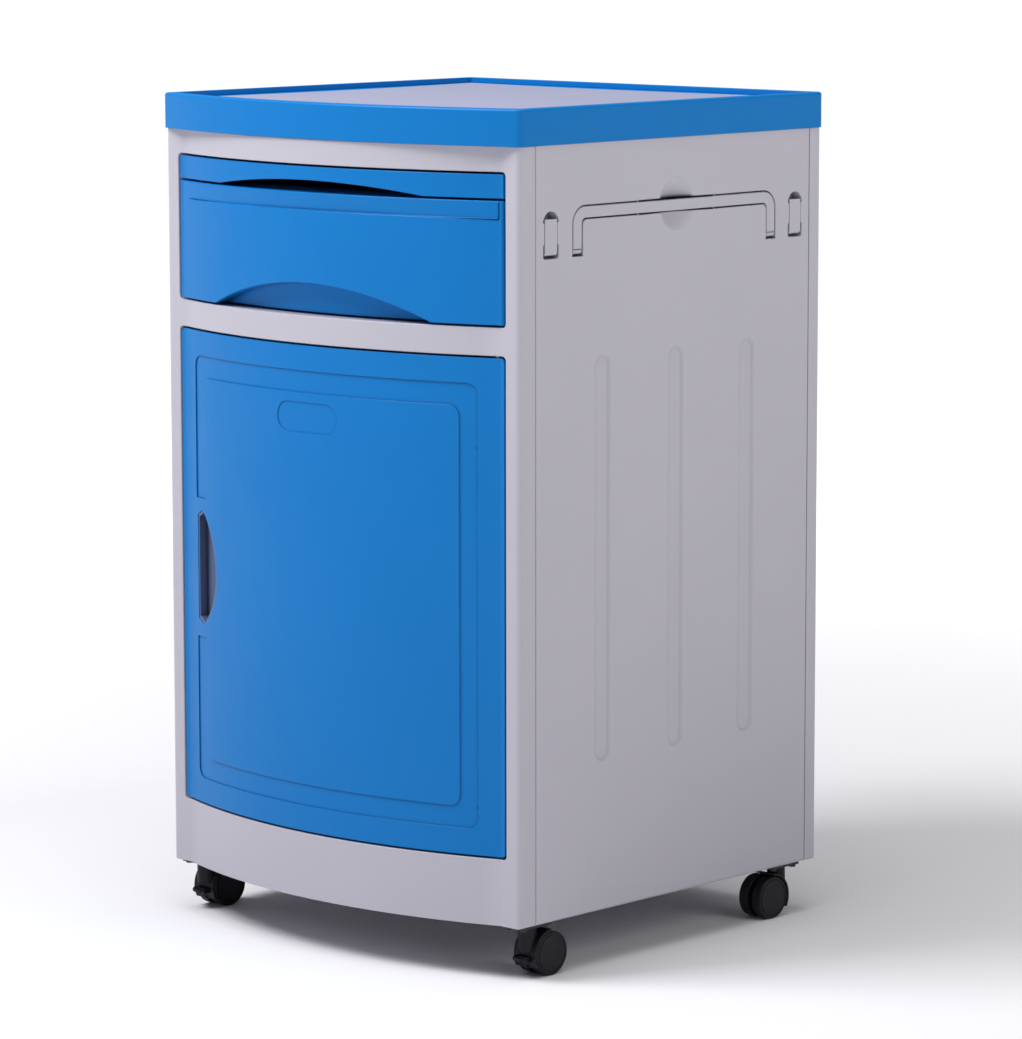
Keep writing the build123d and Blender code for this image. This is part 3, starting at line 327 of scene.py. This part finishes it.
def slope_band(mesh):
    """Leans the drawer front's recessed band outwards, so that it is deepest along its lower edge."""
    for vertex in mesh.vertices:
        x, y, z = vertex.co
        face_y = bow_y(x, -DRAWER_PROUD)
        if abs(z - DRAWER_TOP_Z) < NEAR and 0 < y - face_y < BAND_DEPTH + NEAR:
            vertex.co.y = face_y


def rounded_piece(node, edge_mm):
    """The moulded piece: the CAD shape with the small edge radii that every moulding has."""
    mesh = clean_copy(node)
    if node == "drawer_front":
        slope_band(mesh)
    piece = bpy.data.objects.new(node + "_moulded", mesh)
    SCENE.collection.objects.link(piece)
    for face in mesh.polygons:
        face.use_smooth = True
    mesh.set_sharp_from_angle(angle=SHARP)
    edges = piece.modifiers.new("edges", "BEVEL")
    edges.width = edge_mm * MM
    edges.segments = 3
    edges.limit_method = "ANGLE"
    edges.angle_limit = SHARP
    edges.harden_normals = True
    edges.use_clamp_overlap = False
    flats = piece.modifiers.new("flats", "WEIGHTED_NORMAL")
    flats.mode = "FACE_AREA"
    flats.weight = 90
    flats.keep_sharp = True
    apply_modifiers(piece)
    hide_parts(node)
    place_piece(piece, body_of(node), SLOT_OF[node])


# Each moulded piece's edge radius, in millimetres.
EDGE_RADII = {
    "front_frame": 0.8, "side_panel_left": 0.45, "side_panel_right": 0.45, "back_panel": 0.6,
    "top_rim": 0.5, "top_deck": 0.3, "top_inlay": 0.3, "tray_front": 0.6, "drawer_front": 0.9,
    "door_skin": 0.4, "door_grip": 0.4, "towel_bar_left": 0.8, "towel_bar_right": 0.8,
}

for node_name, piece_object in frame["nodes"].items():
    if node_name in EDGE_RADII:
        rounded_piece(node_name, EDGE_RADII[node_name])
    else:
        piece_object.data.materials.clear()
        piece_object.data.materials.append(MATERIALS[SLOT_OF[node_name]])


# ---------------------------------------------------------------- studio

# The floor's half width, and where it starts to brighten and is brightest, in metres, then the light levels.
FLOOR_HALF = 90.0
GLOW_FROM = 0.7
GLOW_TO = 2.8
FLOOR_GLOW = 0.85
SKY = 0.2
KEY_POWER = 57.0
TOP_POWER = 40.0
SIDE_POWER = 20.0


def soft_box(name, spot, aim, side, power, colour="#ffffff"):
    """A large square light at a spot, facing a point."""
    lamp = bpy.data.lights.new(name, "AREA")
    lamp.shape = "RECTANGLE"
    lamp.size = side
    lamp.size_y = side
    lamp.energy = power
    lamp.color = linear(colour)[:3]
    holder = bpy.data.objects.new(name, lamp)
    holder.location = spot
    holder.rotation_mode = "QUATERNION"
    holder.rotation_quaternion = (Vector(spot) - Vector(aim)).to_track_quat("Z", "Y")
    SCENE.collection.objects.link(holder)


def studio():
    """A plain pale floor that brightens into the distance, a soft pale sky and three soft boxes."""
    floor_mesh = bpy.data.meshes.new("studio_floor")
    corners = [(x * FLOOR_HALF, y * FLOOR_HALF, 0) for x, y in ((-1, -1), (1, -1), (1, 1), (-1, 1))]
    floor_mesh.from_pydata(corners, [], [(0, 1, 2, 3)])
    floor = bpy.data.objects.new("studio_floor", floor_mesh)
    SCENE.collection.objects.link(floor)
    floor.location.z = CAD_LOW.z
    material, tree = new_material("painted_studio_floor")
    place = add(tree, "ShaderNodeTexCoord").outputs["Object"]
    reach = add(tree, "ShaderNodeVectorMath", {0: place}, operation="LENGTH")
    glow = add(
        tree, "ShaderNodeMapRange",
        {"Value": reach.outputs["Value"], "From Min": GLOW_FROM, "From Max": GLOW_TO, "To Max": FLOOR_GLOW},
    )
    shader = add(
        tree, "ShaderNodeBsdfPrincipled",
        {"Base Color": linear("#f2f2f3"), "Roughness": 0.9, "Emission Color": linear("#ffffff"),
         "Emission Strength": glow.outputs["Result"]},
    )
    add(tree, "ShaderNodeOutputMaterial", {"Surface": shader.outputs["BSDF"]})
    floor_mesh.materials.append(material)
    world = bpy.data.worlds.new("studio_sky")
    world.use_nodes = True
    world.node_tree.nodes["Background"].inputs["Color"].default_value = linear("#f6f8ff")
    world.node_tree.nodes["Background"].inputs["Strength"].default_value = SKY
    SCENE.world = world
    SCENE.view_settings.view_transform = "Standard"
    soft_box("key_box", (-0.85, -1.4, 2.5), (0.0, -0.2, 0.65), 1.1, KEY_POWER, "#fbfaff")
    soft_box("top_box", (0.2, -0.3, 2.9), (0.0, 0.0, 0.77), 2.0, TOP_POWER)
    soft_box("side_box", (2.9, 0.6, 1.8), (0.0, 0.0, 0.45), 1.6, SIDE_POWER, "#fffdf8")


# The camera's aim and distance in metres, its angles in degrees, and its lens and sensor in mm.
CAMERA_AIM = (0.0110, 0.0297, 0.3716)
CAMERA_DISTANCE = 4.376
AZIMUTH, ELEVATION, ROLL = 43.026, 8.029, -0.076
LENS_MM = 162.25
SENSOR_MM = 36.0


def camera():
    """The camera: front right, slightly above, with a long lens."""
    lens = bpy.data.cameras.new("product_camera")
    lens.sensor_width = SENSOR_MM
    lens.lens = LENS_MM
    holder = bpy.data.objects.new("product_camera", lens)
    SCENE.collection.objects.link(holder)
    azimuth, elevation, roll = (math.radians(angle) for angle in (AZIMUTH, ELEVATION, ROLL))
    level = math.cos(elevation)
    back = Vector((math.sin(azimuth) * level, -math.cos(azimuth) * level, math.sin(elevation)))
    holder.location = Vector(CAMERA_AIM) + back * CAMERA_DISTANCE
    holder.rotation_mode = "QUATERNION"
    holder.rotation_quaternion = back.to_track_quat("Z", "Y") @ Euler((0, 0, roll)).to_quaternion()
    SCENE.camera = holder


studio()
camera()
